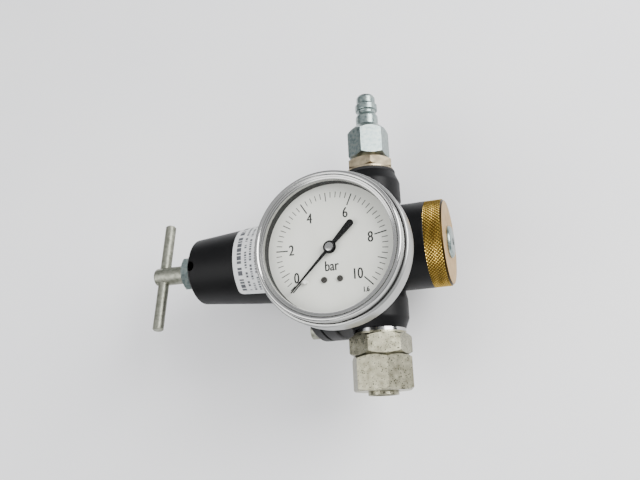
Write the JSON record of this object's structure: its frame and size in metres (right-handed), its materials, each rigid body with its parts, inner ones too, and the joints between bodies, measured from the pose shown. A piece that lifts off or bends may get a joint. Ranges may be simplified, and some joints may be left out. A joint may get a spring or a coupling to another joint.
{
  "type": "pressure reducing valve",
  "caption": "Diaphragm pressure reducing valve with T-handle, back-mounted dial gauge, quick-connect inlet plug and compression outlet fitting.",
  "frame": {"origin": "middle of the lowest face of the whole object, which lies on its back on the rim of its diaphragm flange", "axes": "+X along the main axis from the T-handle to the brass cap, +Y along the ports towards the inlet plug, +Z the way the gauge faces"},
  "size_m": [0.1668, 0.1586, 0.115],
  "materials": {
    "black_paint": "satin",
    "zinc_steel": "zinc plated",
    "bright_zinc": "blue zinc plated",
    "nickel_brass": "nickel plated",
    "yellow_zinc": "yellow zinc plated",
    "brass": "turned and knurled",
    "stainless": "polished",
    "spring_steel": "drawn wire",
    "aluminium": "turned",
    "rubber": "matt",
    "black_plastic": "matt",
    "white_enamel": "matt",
    "black_enamel": "satin",
    "white_plastic": "matt",
    "label_film": "satin",
    "glass": "clear"
  },
  "bodies": {
    "valve_body": {"body_casting": "black_paint", "bonnet": "black_paint", "bonnet_screws": "zinc_steel", "label": "label_film", "diaphragm": "rubber", "range_spring": "spring_steel", "seat_ring": "brass", "valve_spring": "spring_steel", "brass_cap": "brass", "cap_oring": "rubber", "centre_plug": "bright_zinc", "rear_port_plug": "zinc_steel", "inlet_seal": "stainless", "inlet_nipple": "nickel_brass", "quick_plug": "bright_zinc", "outlet_seal": "stainless", "outlet_stud": "nickel_brass", "cutting_ring": "nickel_brass", "compression_nut": "nickel_brass", "tube_stub": "nickel_brass", "gauge_socket": "brass", "gauge_seal": "rubber", "gauge_case": "stainless", "blowout_plug": "black_plastic", "gauge_bezel": "stainless", "gauge_window": "glass", "dial_ring": "black_plastic", "dial_plate": "white_enamel", "dial_screws": "black_enamel", "dial_posts": "brass", "stop_pin": "white_plastic", "hairspring": "brass", "movement_back_plate": "brass", "movement_front_plate": "brass", "movement_pillars": "brass", "bourdon_tube": "brass", "bourdon_tip": "brass"},
    "diaphragm_stack": {"diaphragm_plate": "aluminium", "spring_plate": "yellow_zinc", "diaphragm_nut": "zinc_steel"},
    "inner_valve": {"valve_stem": "brass", "valve_disc": "rubber"},
    "spring_carrier": {"upper_spring_seat": "yellow_zinc"},
    "handle": {"adjusting_screw": "zinc_steel", "tee_bar": "zinc_steel"},
    "lock_nut_body": {"lock_nut": "zinc_steel"},
    "pointer_body": {"pointer": "black_enamel", "pointer_hub": "stainless", "pointer_arbor": "brass"},
    "sector_body": {"sector_gear": "brass", "sector_arbor": "brass"},
    "link_body": {"link": "brass"}
  },
  "joints": [
    {"name": "handle_turn", "type": "hinge", "parent": "spring_carrier", "child": "handle", "pos_m": [-0.0789, -0.0073, 0.0435], "axis": [1, 0, 0], "range_deg": [0, 2400]},
    {"name": "spring_carrier_slide", "type": "slide", "parent": "valve_body", "child": "spring_carrier", "axis": [1, 0, 0], "range_m": [0, 0.01], "deforming": ["range_spring"]},
    {"name": "lock_nut_turn", "type": "hinge", "parent": "valve_body", "child": "lock_nut_body", "pos_m": [-0.058, -0.0073, 0.0435], "axis": [1, 0, 0], "range_deg": [-180, 0]},
    {"name": "diaphragm_travel", "type": "slide", "parent": "valve_body", "child": "diaphragm_stack", "axis": [1, 0, 0], "range_m": [0, 0.002], "stiffness_N_per_m": 2000, "deforming": ["diaphragm"]},
    {"name": "valve_lift", "type": "slide", "parent": "valve_body", "child": "inner_valve", "axis": [1, 0, 0], "range_m": [0, 0.002], "deforming": ["valve_spring"]},
    {"name": "sector_swing", "type": "hinge", "parent": "valve_body", "child": "sector_body", "pos_m": [0.0404, -0.0329, 0.0975], "axis": [0, 0, 1], "range_deg": [0, 45], "stiffness_Nm_per_rad": 0.001},
    {"name": "pointer_turn", "type": "hinge", "parent": "valve_body", "child": "pointer_body", "pos_m": [0.0404, -0.0203, 0.1087], "axis": [0, 0, 1], "range_deg": [-270, 0], "deforming": ["hairspring"]},
    {"name": "link_pivot", "type": "hinge", "parent": "sector_body", "child": "link_body", "pos_m": [0.04272, -0.03788, 0.0957], "axis": [0, 0, 1], "range_deg": [-45, 0]}
  ],
  "couplings": [
    {"joint": "handle_turn", "follows": "spring_carrier_slide", "rad_per_m": 4188.8},
    {"joint": "valve_lift", "follows": "diaphragm_travel", "ratio": 1},
    {"joint": "pointer_turn", "follows": "sector_swing", "ratio": -6},
    {"joint": "link_pivot", "follows": "sector_swing", "ratio": -1}
  ]
}
